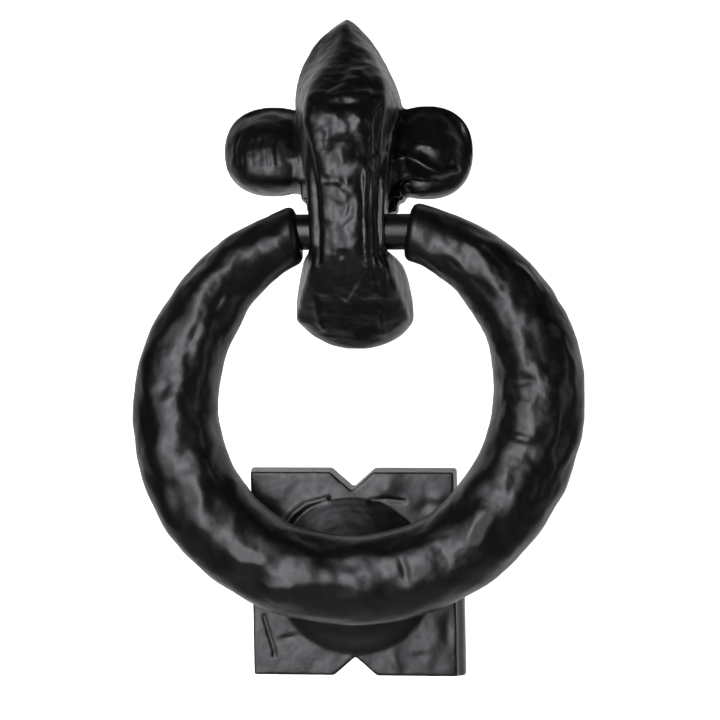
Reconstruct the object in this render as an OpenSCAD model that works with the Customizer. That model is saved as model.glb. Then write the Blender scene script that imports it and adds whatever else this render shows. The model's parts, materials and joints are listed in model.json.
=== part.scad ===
// Cast-iron door knocker. A fleur-de-lis bracket carries a heavy tapered ring on
// a steel pin, and the ring strikes the boss of a separate square plate.
// +Z is up. The outer face of the door is the plane Y = 0: the castings stand out
// towards -Y, and the fixing studs run through the door towards +Y.
// The origin is where the axis of the upper stud meets the door's outer face.

/* [Ring] */
// Overall width of the ring
ring_od = 120; // [104:1:150]
// Thickness of the ring at its thickest, at the sides
ring_side_d = 24; // [19:0.5:29]
// Thickness of the ring at the bottom, where it strikes
ring_bottom_d = 22; // [17:0.5:27]
// Thickness of each end of the ring
ring_end_d = 15.2; // [13:0.2:18]
// Gap between the two end faces of the ring
ring_gap = 30.2; // [28:0.2:36]
// How much lower the ring's bottom hangs than a true circle's
ring_sag = 0.9; // [0:0.1:3]
// How far the ring sits to the right on its pin
ring_shift = 1.5; // [-1.5:0.1:1.5]

/* [Pivot] */
// Diameter of the pivot pin
pin_d = 9.5; // [7:0.1:11.5]
// Distance from the door to the axis of the pin
pivot_out = 22; // [19:0.5:27]
// Distance of the pin below the upper stud
pivot_drop = 22.5; // [21:0.5:26]
// How deep the pin is pressed into each end of the ring
socket_depth = 8; // [6:0.5:10]

/* [Bracket] */
// Height of the petal's tip above the upper stud
petal_h = 37.4; // [32:0.2:45]
// Width of the petal at its foot
petal_w = 28.6; // [25:0.2:34]
// Radius of each round lobe
lobe_r = 12.3; // [10:0.1:14.8]
// Distance from the stud to the middle of each lobe
lobe_out = 21.4; // [18:0.2:25.6]
// Width of the stem where the pin passes through it
waist_w = 19.6; // [17:0.2:23.5]
// Width of the tail across its two corners
tail_w = 31.4; // [26:0.2:37.6]
// Length of the tail, from the pin to its lowest point
tail_h = 31; // [26:0.5:37]
// Thickness of iron in front of the pin
pin_cover = 5; // [4:0.5:7]
// Wall of the hollow castings
wall = 4.5; // [3.5:0.1:5.4]

/* [Strike plate] */
// Width and height of the strike plate
plate_w = 56.5; // [48:0.5:68]
// Thickness of the strike plate
plate_t = 10; // [8.5:0.5:12]
// Width of the mouth of each V notch
notch_w = 11.8; // [8:0.2:14]
// Depth of each V notch
notch_h = 5.2; // [3:0.2:6.2]
// Radius of the boss where it meets the plate
boss_base_r = 20; // [17:0.5:22.5]
// Radius of the boss at its rounded shoulder
boss_top_r = 13.5; // [11:0.5:16]
// Height of the boss above the plate
boss_h = 5; // [4:0.1:6]

/* [Fixings] */
// Thickness of the door
door_t = 44; // [35:1:60]
// Diameter of the thread of each stud
stud_d = 8; // [6:0.5:9.6]
// Diameter of the plain shank between the threads
shank_d = 7; // [5:0.5:7.4]
// Diameter of the washers
washer_d = 24; // [20:1:30]
// Thickness of the washers
washer_t = 2; // [1.5:0.1:3]
// Width of the nuts across their flats
nut_af = 13; // [12.5:0.5:17]
// Height of the nuts
nut_h = 6.5; // [5:0.5:8]
// Diameter of the keeper screws
keeper_screw_d = 4; // [3:0.5:4.5]
// Thickness of the keeper strap
keeper_t = 3.5; // [2.5:0.5:4.5]

/* [Hidden] */
$fn = 64;

// Clearances
pin_fit = 0.08;      // around the pin in its seat
thread_fit = 0.05;   // around each thread in its hole
slide_fit = 0.25;    // around the keeper strap in its pocket
rest_gap = 0.3;      // between the ring and the boss at rest
eps = 0.01;          // cuts pass each face by this much
deep = 100;          // longer than any cut needs to be

// Ring, seen from its own centre
ring_r = (ring_od - ring_side_d) / 2;
end_pinch = 1.8;
end_r = ring_r - end_pinch;
end_angle = 180 - asin((ring_gap / 2) / end_r);
ring_centre_drop = end_r * cos(180 - end_angle);
ring_bottom_drop = ring_centre_drop + ring_r + ring_sag;
ring_steps = 60;
ring_sides = 24;
taper_span = 78;     // degrees over which each end grows to full thickness
end_turn = 9;        // degrees that each end turns towards the pin

// The ring leans out so that its back rests on the boss
boss_top = plate_t + boss_h;
lean = asin((boss_top + rest_gap + ring_bottom_d / 2 - pivot_out) / ring_bottom_drop);
boss_rise = 1.07;    // middle of the boss above the bottom of the ring
stud_spacing = pivot_drop + ring_bottom_drop - boss_rise;

// Bracket
pin_r = pin_d / 2;
pivot_z = -pivot_drop;
stem_out = pivot_out + pin_r + pin_cover;
neck_h = 2 * (pin_r + 0.4);
petal_foot_z = 12;   // the petal is widest here, and narrows to the stem below it
lobe_sink = 2.6;     // middle of each lobe's curve in front of the door
bridge_out = 12;     // the band that joins the lobes behind the stem
bridge_w = 25.6;
bridge_drop = 4.4;
tail_bottom = pivot_z - tail_h;
corner_rise = 8.2;
corner_z = tail_bottom + corner_rise;
draft = 0.06;        // sideways slope of the casting's walls
rim_out = 1.2;       // straight foot of the casting against the door

// Keeper, in a pocket behind the pin
keeper_w = waist_w - 2 * wall + 1.6;
keeper_floor = pivot_out - pin_r - pin_fit;
keeper_reach = pin_r + 2 * keeper_screw_d - 3.5;
keeper_h = 2 * (keeper_reach + keeper_screw_d * 0.9);
screw_grip = 1.6 * keeper_screw_d;
screw_head_d = 1.75 * keeper_screw_d;
screw_head_h = 0.55 * keeper_screw_d;

// Studs
upper_thread_depth = 14;
lower_thread_depth = 10.5;
boss_wall = 4.5;
inner_thread = washer_t + nut_h + 3;
thread_start = door_t - 8;

function smooth(a, b, x) =
    let (t = min(max((x - a) / (b - a), 0), 1)) t * t * (3 - 2 * t);
function mix(a, b, t) = a + (b - a) * t;

// One skin of quads over rows of points that all have the same length
module skin(rows) {
    n = len(rows[0]);
    m = len(rows);
    sides = [
        for (i = [0 : m - 2]) for (k = [0 : n - 1])
            [i * n + k, i * n + (k + 1) % n, (i + 1) * n + (k + 1) % n, (i + 1) * n + k]
    ];
    tris = [for (q = sides) each [[q[0], q[1], q[2]], [q[0], q[2], q[3]]]];
    first = [for (k = [n - 1 : -1 : 0]) k];
    last = [for (k = [0 : n - 1]) (m - 1) * n + k];
    polyhedron([for (r = rows) each r], [each tris, first, last]);
}

// Stands a shape that was drawn flat on the door, growing towards -Y
module on_door() {
    rotate([90, 0, 0]) children();
}

// A shape along +Y
module into_door() {
    rotate([-90, 0, 0]) children();
}

// ---- Bracket ----

// Half width of the stem at its back, at height z
function petal_half(z) =
    petal_w / 2 * pow(sin(90 * min((petal_h - z) / 26, 1)), 0.7);
function tail_half(z) =
    let (arc_r = (tail_w * tail_w / 4 + corner_rise * corner_rise) / (2 * corner_rise))
    z < corner_z
        ? sqrt(max(arc_r * arc_r - pow(tail_bottom + arc_r - z, 2), 0))
        : mix(tail_w / 2, tail_w / 2 - 2.6, smooth(corner_z, pivot_z - neck_h / 2 - 1, z));
function back_half(z) =
    let (
        neck_top = pivot_z + neck_h / 2,
        neck_bottom = pivot_z - neck_h / 2,
        above = mix(waist_w / 2, petal_half(z), smooth(neck_top - 2, petal_foot_z, z)),
        below = mix(tail_half(z), waist_w / 2, smooth(neck_bottom - 2.4, neck_bottom, z))
    )
    z > pivot_z ? above : below;

// How far the stem stands out from the door at height z
function stem_depth(z) =
    z > pivot_z
        ? mix(stem_out, 3.4, smooth(-2, petal_h + 6, z))
        : mix(3.2, stem_out, pow(sin(90 * (z - tail_bottom) / tail_h), 0.85));

// Half width of the front face at height z
function front_half(z) =
    let (
        b = back_half(z),
        bevel = draft * stem_depth(z) + 0.6 + 2.2 * smooth(pivot_z, petal_foot_z, z)
    )
    b - min(bevel, b * 0.45);

// A D-shaped outline with a crowned front, round the stem at height z
function stem_section(z, inset = 0, back = 1) =
    let (
        b = back_half(z) - inset,
        f = front_half(z) - inset,
        p = stem_depth(z) - inset,
        crown = min(2.2, p * 0.3),
        rim = min(rim_out, p * 0.4),
        side = [for (t = [0 : 0.25 : 1]) [
            mix(b, f, t * t * 0.6 + t * 0.4), -mix(rim, p - crown, t), z]],
        front = [for (k = [1 : 6]) let (c = cos(180 * k / 7))
            [f * c * 0.97, -(p - crown * c * c), z]]
    )
    [
        [b, back, z], each side, each front,
        each [for (k = [4 : -1 : 0]) [-side[k][0], side[k][1], z]],
        [-b, back, z],
    ];

stem_rows = [
    tail_bottom + 0.15, tail_bottom + 0.6,
    each [for (k = [1 : 5]) tail_bottom + corner_rise * k / 5],
    each [for (k = [1 : 8]) mix(corner_z, pivot_z - neck_h / 2 - 2.4, k / 8)],
    each [for (k = [1 : 4]) pivot_z - neck_h / 2 - 2.4 * (1 - k / 4)],
    each [for (k = [1 : 2]) pivot_z + neck_h / 2 * k / 2],
    each [for (k = [1 : 15]) mix(pivot_z + neck_h / 2, petal_h - 8, k / 15)],
    petal_h - 6, petal_h - 4.4, petal_h - 3, petal_h - 1.8, petal_h - 0.9, petal_h - 0.3,
];

// A lobe: a round end on a half-round arm from the stem
module lobe(side) {
    foot = sqrt(lobe_r * lobe_r - lobe_sink * lobe_sink);
    arc = [for (a = [0 : 7.5 : 90]) [lobe_r * cos(a), lobe_sink + lobe_r * sin(a)]];
    translate([side * lobe_out, 0, 0]) on_door()
        rotate_extrude() polygon([[0, 0], [foot, 0], each arc]);
    mirror([side < 0 ? 1 : 0, 0, 0]) rotate([90, 0, 90]) linear_extrude(lobe_out)
        polygon([
            [0, -foot], each [for (q = arc) [-q[1], -q[0]]],
            each [for (k = [len(arc) - 2 : -1 : 0]) [-arc[k][1], arc[k][0]]], [0, foot],
        ]);
}

// The band that joins the lobes behind the stem and ends in a lip above the pin
module lobe_bridge() {
    on_door() linear_extrude(bridge_out) polygon([
        [-bridge_w / 2, -lobe_r - bridge_drop], [bridge_w / 2, -lobe_r - bridge_drop],
        [bridge_w / 2 + 1.2, -lobe_r], [bridge_w / 2 + 4, -lobe_r / 2],
        [-bridge_w / 2 - 4, -lobe_r / 2], [-bridge_w / 2 - 1.2, -lobe_r],
    ]);
}

// Room behind the front wall between two heights, open towards the door
module stem_hollow(z0, z1) {
    rows = [for (k = [0 : 9]) mix(z0, z1, k / 9)];
    skin([for (z = rows) stem_section(z, wall, 2)]);
}

module stud_boss(depth) {
    on_door() cylinder(r = stud_d / 2 + boss_wall, h = depth);
}

module keeper_pocket() {
    translate([-keeper_w / 2 - slide_fit, -keeper_floor, pivot_z - keeper_h / 2 - slide_fit])
        cube([keeper_w + 2 * slide_fit, deep, keeper_h + 2 * slide_fit]);
}

module pin_slot() {
    r = pin_r + pin_fit;
    translate([-deep / 2, -pivot_out, pivot_z]) rotate([0, 90, 0]) cylinder(r = r, h = deep);
    translate([-deep / 2, -pivot_out, pivot_z - r]) cube([deep, deep, 2 * r]);
}

module thread_hole(depth) {
    translate([0, eps, 0]) on_door() cylinder(r = stud_d / 2 + thread_fit, h = depth + 1 + eps);
}

module keeper_screw_place(up) {
    translate([0, -keeper_floor, pivot_z + up * keeper_reach]) children();
}

module fleur_bracket() {
    color([0.055, 0.055, 0.06])
    difference() {
        union() {
            difference() {
                union() {
                    skin([for (z = stem_rows) stem_section(z)]);
                    lobe(-1);
                    lobe(1);
                    lobe_bridge();
                }
                stem_hollow(pivot_z + keeper_h / 2 + 3, petal_h - 11);
                stem_hollow(tail_bottom + 7, pivot_z - keeper_h / 2 - 3);
            }
            stud_boss(upper_thread_depth + 5);
        }
        translate([-deep, 0, -deep]) cube([2 * deep, deep, 2 * deep]);
        keeper_pocket();
        pin_slot();
        thread_hole(upper_thread_depth);
        for (up = [-1, 1]) keeper_screw_place(up)
            translate([0, eps, 0]) on_door()
                cylinder(r = keeper_screw_d / 2 + thread_fit, h = screw_grip + 0.6);
    }
}

// ---- Ring and pin ----

// Thickness of the ring at angle a from its bottom
function ring_half(a) =
    let (
        full = mix(ring_bottom_d / 2, ring_side_d / 2, smooth(0, 60, abs(a))),
        grown = smooth(0, taper_span, end_angle - abs(a))
    )
    mix(ring_end_d / 2, full, grown);

// A round section of the ring at angle a from its bottom
function ring_section(a) =
    let (
        near_end = smooth(end_angle - 36, end_angle, abs(a)),
        r = ring_r - end_pinch * near_end + ring_sag * smooth(90, 0, abs(a)),
        turn = a + sign(a) * end_turn * near_end,
        h = ring_half(a)
    )
    [for (k = [0 : ring_sides - 1]) let (q = 360 * k / ring_sides)
        [
            r * sin(a) + h * cos(q) * sin(turn),
            -h * sin(q),
            -ring_centre_drop - r * cos(a) - h * cos(q) * cos(turn),
        ]
    ];

// Moves a shape whose pin axis is the X axis to its place on the bracket
module at_pivot() {
    translate([ring_shift, -pivot_out, pivot_z]) rotate([-lean, 0, 0]) children();
}

module knocker_ring() {
    color([0.05, 0.05, 0.055])
    at_pivot() difference() {
        skin([for (k = [0 : ring_steps]) ring_section(mix(-end_angle, end_angle, k / ring_steps))]);
        translate([-ring_gap / 2 - socket_depth - 0.5, 0, 0]) rotate([0, 90, 0])
            cylinder(r = pin_r, h = ring_gap + 2 * socket_depth + 1);
    }
}

module pivot_pin() {
    length = ring_gap + 2 * socket_depth;
    color([0.07, 0.07, 0.075])
    at_pivot() translate([-length / 2, 0, 0]) rotate([0, 90, 0]) cylinder(r = pin_r, h = length);
}

// ---- Keeper ----

module keeper_strap() {
    color([0.3, 0.3, 0.32])
    difference() {
        translate([-keeper_w / 2, -keeper_floor, pivot_z - keeper_h / 2])
            cube([keeper_w, keeper_t, keeper_h]);
        for (up = [-1, 1]) keeper_screw_place(up)
            translate([0, -eps, 0]) into_door()
                cylinder(r = keeper_screw_d / 2 + 0.25, h = keeper_t + 2 * eps);
    }
}

module keeper_screw(up) {
    color([0.55, 0.55, 0.57])
    keeper_screw_place(up) {
        on_door() cylinder(r = keeper_screw_d / 2, h = screw_grip);
        into_door() cylinder(r = keeper_screw_d / 2, h = keeper_t);
        translate([0, keeper_t, 0]) difference() {
            into_door() cylinder(r = screw_head_d / 2, h = screw_head_h);
            translate([-deep / 2, screw_head_h / 2, -0.5]) cube([deep, deep, 1]);
        }
    }
}

module keeper_screw_upper() {
    keeper_screw(1);
}

module keeper_screw_lower() {
    keeper_screw(-1);
}

// ---- Strike plate ----

// The plate's outline, with a V notch in its top and bottom edge
module plate_outline(w) {
    h = w / 2;
    n = notch_w / 2;
    polygon([
        [-h, -h], [-n, -h], [0, notch_h - h], [n, -h], [h, -h],
        [h, h], [n, h], [0, h - notch_h], [-n, h], [-h, h],
    ]);
}

// Half of the boss's profile: a concave foot, a rounded shoulder and a low dome
module boss_profile() {
    foot = boss_base_r - boss_top_r;
    shoulder = boss_h * 0.45;
    dome_rise = 0.6;
    polygon([
        [0, -plate_t / 2],
        [boss_base_r, -plate_t / 2],
        for (a = [0 : 15 : 90]) [boss_base_r - foot * sin(a), (boss_h - shoulder) * (1 - cos(a))],
        for (a = [15 : 15 : 90]) [
            boss_top_r - shoulder * (1 - cos(a)),
            boss_h - shoulder + (shoulder - dome_rise) * sin(a),
        ],
        for (t = [0.75 : -0.25 : 0]) [
            (boss_top_r - shoulder) * t,
            boss_h - dome_rise * t * t,
        ],
    ]);
}

module strike_plate() {
    foot = 2.5;
    top = plate_w - 2 * draft * (plate_t - foot) * 1.6;
    recess_r = plate_w / 2 - notch_h - wall;
    color([0.06, 0.06, 0.065])
    translate([0, 0, -stud_spacing]) difference() {
        on_door() {
            linear_extrude(foot) plate_outline(plate_w);
            translate([0, 0, foot])
                linear_extrude(plate_t - foot, scale = top / plate_w) plate_outline(plate_w);
            translate([0, 0, plate_t]) rotate_extrude() boss_profile();
        }
        translate([0, eps, 0]) on_door() difference() {
            cylinder(r = recess_r, h = plate_t - wall);
            cylinder(r = stud_d / 2 + boss_wall, h = plate_t);
        }
        thread_hole(lower_thread_depth);
    }
}

// ---- Studs, washers and nuts ----

module stud(depth) {
    color([0.6, 0.6, 0.62]) {
        on_door() cylinder(r = stud_d / 2, h = depth);
        into_door() cylinder(r = shank_d / 2, h = thread_start);
        translate([0, thread_start, 0]) into_door()
            cylinder(r = stud_d / 2, h = door_t + inner_thread - thread_start);
    }
}

module washer() {
    color([0.6, 0.6, 0.62])
    translate([0, door_t, 0]) into_door() difference() {
        cylinder(r = washer_d / 2, h = washer_t);
        translate([0, 0, -eps]) cylinder(r = stud_d / 2 + 0.3, h = washer_t + 2 * eps);
    }
}

module nut() {
    corner_r = nut_af / 2 / cos(30);
    color([0.6, 0.6, 0.62])
    translate([0, door_t + washer_t, 0]) into_door() difference() {
        intersection() {
            cylinder(r = corner_r, h = nut_h, $fn = 6);
            cylinder(r1 = corner_r + nut_h - 0.6, r2 = corner_r - 0.6, h = nut_h);
        }
        translate([0, 0, -eps]) cylinder(r = stud_d / 2 + thread_fit, h = nut_h + 2 * eps);
    }
}

module at_strike() {
    translate([0, 0, -stud_spacing]) children();
}

module upper_stud() {
    stud(upper_thread_depth);
}

module lower_stud() {
    at_strike() stud(lower_thread_depth);
}

module upper_washer() {
    washer();
}

module lower_washer() {
    at_strike() washer();
}

module upper_nut() {
    nut();
}

module lower_nut() {
    at_strike() nut();
}

fleur_bracket();
knocker_ring();
pivot_pin();
keeper_strap();
keeper_screw_upper();
keeper_screw_lower();
strike_plate();
upper_stud();
lower_stud();
upper_washer();
lower_washer();
upper_nut();
lower_nut();
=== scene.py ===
"""The visible pieces of a cast-iron door knocker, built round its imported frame.

A fleur-de-lis bracket holds a hammered ring on a steel pin, and the ring strikes the boss
of a square plate. Both castings are fixed through the door with studs, washers and nuts.
"""

import json
import math

import bmesh
import bpy
import numpy as np
from bpy.props import FloatProperty, FloatVectorProperty, PointerProperty
from mathutils import Matrix, Vector, noise


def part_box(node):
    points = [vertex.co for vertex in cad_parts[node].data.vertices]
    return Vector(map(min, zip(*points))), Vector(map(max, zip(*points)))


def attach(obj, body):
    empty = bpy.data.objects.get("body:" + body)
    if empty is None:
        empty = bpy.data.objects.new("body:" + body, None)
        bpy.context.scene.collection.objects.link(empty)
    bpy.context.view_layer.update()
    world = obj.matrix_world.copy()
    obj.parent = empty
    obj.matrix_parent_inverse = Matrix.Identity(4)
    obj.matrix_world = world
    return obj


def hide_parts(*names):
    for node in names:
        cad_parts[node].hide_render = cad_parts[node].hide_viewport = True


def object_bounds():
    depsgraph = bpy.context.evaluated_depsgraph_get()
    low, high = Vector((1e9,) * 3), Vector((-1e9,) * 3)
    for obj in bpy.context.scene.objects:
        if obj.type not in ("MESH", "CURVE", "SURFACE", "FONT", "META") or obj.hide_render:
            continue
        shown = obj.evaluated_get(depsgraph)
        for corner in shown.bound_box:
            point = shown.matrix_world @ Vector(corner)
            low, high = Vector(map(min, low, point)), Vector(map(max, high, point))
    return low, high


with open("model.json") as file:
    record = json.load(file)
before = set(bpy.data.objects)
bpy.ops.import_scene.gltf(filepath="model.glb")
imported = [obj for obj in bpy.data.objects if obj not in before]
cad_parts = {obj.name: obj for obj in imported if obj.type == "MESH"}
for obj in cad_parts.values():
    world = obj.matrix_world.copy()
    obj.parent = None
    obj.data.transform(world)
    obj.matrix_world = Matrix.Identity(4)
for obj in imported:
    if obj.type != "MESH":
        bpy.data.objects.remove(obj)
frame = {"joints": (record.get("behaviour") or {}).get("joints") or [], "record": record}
cad_box = [list(corner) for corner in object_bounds()]

bl_info = {
    "name": "Ring Door Knocker",
    "version": (1, 0, 0),
    "blender": (4, 5, 0),
    "location": "3D View > Sidebar > Knocker",
    "description": "Builds a cast ring knocker, its bracket, strike plate and fixings",
    "category": "Add Mesh",
}

MM = 0.001

# Places that come from the frame, in metres
hinge = frame["joints"][0]
pivot = Vector(hinge["pos_m"])
ring_lo, ring_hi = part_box("knocker_ring")
pin_lo, pin_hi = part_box("pivot_pin")
plate_lo, plate_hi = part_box("strike_plate")
strap_lo, strap_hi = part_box("keeper_strap")
plate_mid = (plate_lo + plate_hi) / 2
stud_axes = {"upper": 0.0, "lower": plate_mid.z}


# ---- Sizes and colours ----

def linear(hex_colour):
    """An sRGB hex colour as linear red, green and blue."""
    parts = [int(hex_colour[k:k + 2], 16) / 255 for k in (0, 2, 4)]
    return tuple(c / 12.92 if c <= 0.04045 else ((c + 0.055) / 1.055) ** 2.4 for c in parts)


def length(name, description, millimetres):
    return FloatProperty(
        name=name, description=description, default=millimetres * MM,
        min=0, precision=5, subtype="DISTANCE", unit="LENGTH",
    )


def colour(name, description, hex_colour):
    return FloatVectorProperty(
        name=name, description=description, default=linear(hex_colour),
        size=3, min=0, max=1, subtype="COLOR",
    )


class RingSettings(bpy.types.PropertyGroup):
    side: length("Side thickness", "Thickness of the ring at its sides", 24)
    bottom: length("Bottom thickness", "Thickness of the ring where it strikes", 22)
    end: length("End thickness", "Thickness of each end of the ring", 15.2)
    gap: length("Gap", "Gap between the two ends", 30.2)
    end_round: length("End rounding", "Radius of the rounded corner of each end", 2.2)
    lump: length("Lump depth", "How deep the hammered lumps are", 0.85)
    lump_size: length("Lump size", "How wide the hammered lumps are", 11)


class BracketSettings(bpy.types.PropertyGroup):
    wall: length("Wall", "Wall of the hollow casting", 4.5)
    lump: length("Lump depth", "How deep the lumps in the casting are", 0.42)
    cell: length("Detail", "Size of the smallest cast detail", 0.5)


class PlateSettings(bpy.types.PropertyGroup):
    notch_w: length("Notch width", "Width of the mouth of each notch", 11.8)
    notch_h: length("Notch depth", "Depth of each notch", 5.2)
    boss_h: length("Boss height", "Height of the boss above the plate", 5)
    lump: length("Lump depth", "How deep the dents in the plate are", 0.22)


class FixingSettings(bpy.types.PropertyGroup):
    thread: length("Thread", "Diameter of the stud threads", 8)
    pitch: length("Pitch", "Pitch of the stud threads", 1.25)
    nut_af: length("Nut", "Width of the nuts across their flats", 13)
    screw: length("Keeper screw", "Diameter of the keeper screws", 4)


class FinishSettings(bpy.types.PropertyGroup):
    coat: colour("Powder coat", "Black polyester powder coat on the castings", "060607")
    coat_worn: colour("Thin coat", "The same coat where it is thinner on the lumps", "0e0e10")
    pin_coat: colour("Pin coat", "Black powder coat on the steel pin", "09090b")
    zinc: colour("Zinc", "Bright zinc plate on the fixings", "c4c8cc")
    zinc_dull: colour("Dull zinc", "Zinc plate where it has dulled", "9a9da3")
    paper: colour("Paper", "Pale paper of the floor and backdrop", "f4f4f2")


class StageSettings(bpy.types.PropertyGroup):
    turn: FloatProperty(
        name="Camera turn", description="How far the camera stands to the right",
        default=math.radians(4), subtype="ANGLE",
    )
    distance: length("Camera distance", "From the camera to the ring", 527.5)
    lens: FloatProperty(name="Lens", description="Focal length, in millimetres", default=100)
    key: FloatProperty(
        name="Key light", description="Power of the softbox beside the camera", default=0.66,
    )
    fill: FloatProperty(
        name="Fill light", description="Power of the strip on the right", default=0.12,
    )


# ---- Shaping ----

def smooth(a, b, x):
    """0 before a, 1 after b, and an even curve between them."""
    t = np.clip((x - a) / (b - a), 0, 1)
    return t * t * (3 - 2 * t)


def mix(a, b, t):
    return a + (b - a) * t


def flow(stations, column, at):
    """The value of one column at a place along its stations, on a smooth curve through them."""
    rows = sorted(stations)
    keys = [row[0] for row in rows]
    values = [row[column] for row in rows]
    at = min(max(at, keys[0]), keys[-1])
    k = min(max(int(np.searchsorted(keys, at)) - 1, 0), len(rows) - 2)
    span = keys[k + 1] - keys[k]
    t = (at - keys[k]) / span
    slopes = []
    for i in (k, k + 1):
        before, after = max(i - 1, 0), min(i + 1, len(rows) - 1)
        slopes.append((values[after] - values[before]) / (keys[after] - keys[before]) * span)
    return (
        (2 * t ** 3 - 3 * t ** 2 + 1) * values[k] + (t ** 3 - 2 * t ** 2 + t) * slopes[0]
        + (3 * t ** 2 - 2 * t ** 3) * values[k + 1] + (t ** 3 - t ** 2) * slopes[1]
    )


def lumps(points, size, seed):
    """Smooth noise between -1 and 1 at each point, in lumps about this wide."""
    offset = Vector((seed * 7.3, seed * 3.1, seed * 5.7))
    return np.array([noise.noise(Vector(p) / size * 1.4 + offset) for p in points])


def dent(u, v, at, radii, turn=0):
    """A round dent in a flat pattern: 1 in its middle, 0 outside."""
    c, s = math.cos(math.radians(turn)), math.sin(math.radians(turn))
    du, dv = u - at[0], v - at[1]
    a, b = (du * c + dv * s) / radii[0], (dv * c - du * s) / radii[1]
    return np.exp(-(a * a + b * b))


def line(u, v, points, width):
    """A soft line through some points of a flat pattern: 1 on the line, 0 away from it."""
    near = np.full(u.shape, 1e9)
    for (u0, v0), (u1, v1) in zip(points, points[1:]):
        du, dv = u1 - u0, v1 - v0
        t = np.clip(((u - u0) * du + (v - v0) * dv) / (du * du + dv * dv), 0, 1)
        near = np.minimum(near, np.hypot(u - u0 - du * t, v - v0 - dv * t))
    return np.exp(-((near / width) ** 2))


def carve(u, v, creases, dents):
    """What all the lines and dents in two lists add up to."""
    relief = np.zeros(u.shape)
    for height, width, points in creases:
        relief += height * line(u, v, points, width)
    for height, at, radii, turn in dents:
        relief += height * dent(u, v, at, radii, turn)
    return relief


def add_surface(bm, around, along, shape, closed=True):
    """A grid rolled into a tube by shape(u, v), with its seam merged and its ends filled."""
    made = bmesh.ops.create_grid(bm, x_segments=around, y_segments=along, size=0.5)["verts"]
    for vert in made:
        vert.co = shape(vert.co.x + 0.5, vert.co.y + 0.5)
    if closed:
        bmesh.ops.remove_doubles(bm, verts=made, dist=0.005 * MM)
        made = [vert for vert in made if vert.is_valid]
        rims = {e for vert in made for e in vert.link_edges if e.is_boundary}
        bmesh.ops.holes_fill(bm, edges=list(rims), sides=0)
    return made


def add_turned(bm, profile, segments, axis=(0, 1, 0)):
    """A profile of (radius, distance along the axis) turned about the axis, and closed."""
    along = Vector(axis)
    out = along.orthogonal().normalized()
    verts = [bm.verts.new(out * max(r, 0) + along * d) for r, d in profile]
    edges = [bm.edges.new(pair) for pair in zip(verts, verts[1:])]
    if profile[0][0] > 0 and profile[-1][0] > 0:
        edges.append(bm.edges.new((verts[-1], verts[0])))
    bmesh.ops.spin(
        bm, geom=verts + edges, cent=(0, 0, 0), axis=along,
        angle=2 * math.pi, steps=segments, use_merge=True,
    )


def add_box(bm, lo, hi):
    made = bmesh.ops.create_cube(bm, size=1)["verts"]
    lo, hi = Vector(lo), Vector(hi)
    for vert in made:
        vert.co = (lo + hi) / 2 + vert.co * (hi - lo)
    return made


def scale_by(vector, factors):
    return Vector((vector[0] * factors[0], vector[1] * factors[1], vector[2] * factors[2]))


def to_object(bm, name):
    """A new object that holds the mesh, with its normals outwards."""
    bmesh.ops.remove_doubles(bm, verts=bm.verts, dist=0.0005 * MM)
    bmesh.ops.recalc_face_normals(bm, faces=bm.faces)
    mesh = bpy.data.meshes.new(name)
    bm.to_mesh(mesh)
    bm.free()
    obj = bpy.data.objects.new(name, mesh)
    bpy.context.scene.collection.objects.link(obj)
    return obj


def turned(name, profile, segments, axis=(0, 1, 0), at=(0, 0, 0)):
    """A new object: a closed profile turned about an axis, then moved to its place."""
    bm = bmesh.new()
    add_turned(bm, profile, segments, axis)
    bmesh.ops.translate(bm, verts=bm.verts, vec=at)
    return to_object(bm, name)


def block(name, lo, hi):
    """A new object: a plain block between two corners."""
    bm = bmesh.new()
    add_box(bm, lo, hi)
    return to_object(bm, name)


def apply_modifiers(obj):
    """Gives the object the mesh that its modifiers make, and removes them."""
    graph = bpy.context.evaluated_depsgraph_get()
    made = bpy.data.meshes.new_from_object(obj.evaluated_get(graph))
    old = obj.data
    obj.modifiers.clear()
    obj.data = made
    made.name = obj.name
    bpy.data.meshes.remove(old)


def combine(obj, other, operation):
    """Joins another closed solid to this one, or cuts it away."""
    before = len(obj.data.vertices), len(obj.data.polygons)
    cut = obj.modifiers.new("combine", "BOOLEAN")
    cut.operation = operation
    cut.solver = "MANIFOLD"
    cut.object = other
    apply_modifiers(obj)
    if (len(obj.data.vertices), len(obj.data.polygons)) == before or not obj.data.polygons:
        raise RuntimeError(f"{operation} of {other.name} did nothing to {obj.name}")
    mesh = other.data
    bpy.data.objects.remove(other)
    bpy.data.meshes.remove(mesh)


def recast(obj, cell, passes):
    """Turns the object into one even skin with soft edges, as iron comes out of sand."""
    skin = obj.modifiers.new("skin", "REMESH")
    skin.mode = "VOXEL"
    skin.voxel_size = cell
    apply_modifiers(obj)
    bm = bmesh.new()
    bm.from_mesh(obj.data)
    for _ in range(passes):
        bmesh.ops.smooth_vert(
            bm, verts=bm.verts, factor=0.5, use_axis_x=True, use_axis_y=True, use_axis_z=True,
        )
    bm.to_mesh(obj.data)
    bm.free()


def sculpt(obj, shape):
    """Moves each point along its normal by what shape(points, normals) gives, in metres."""
    mesh = obj.data
    count = len(mesh.vertices)
    points, normals = np.empty(count * 3), np.empty(count * 3)
    mesh.vertices.foreach_get("co", points)
    mesh.vertex_normals.foreach_get("vector", normals)
    points, normals = points.reshape(-1, 3), normals.reshape(-1, 3)
    moved = points + normals * np.reshape(shape(points, normals), (-1, 1))
    mesh.vertices.foreach_set("co", moved.ravel())
    mesh.update()


def keep_within(obj, lo, hi):
    """Grinds off what stands beyond a box by a hair."""
    for vert in obj.data.vertices:
        vert.co = [min(max(c, low), high) for c, low, high in zip(vert.co, lo, hi)]


def flatten_back(obj):
    """Leaves nothing of a casting beyond the door's face."""
    for vert in obj.data.vertices:
        vert.co.y = min(vert.co.y, 0)


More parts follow.
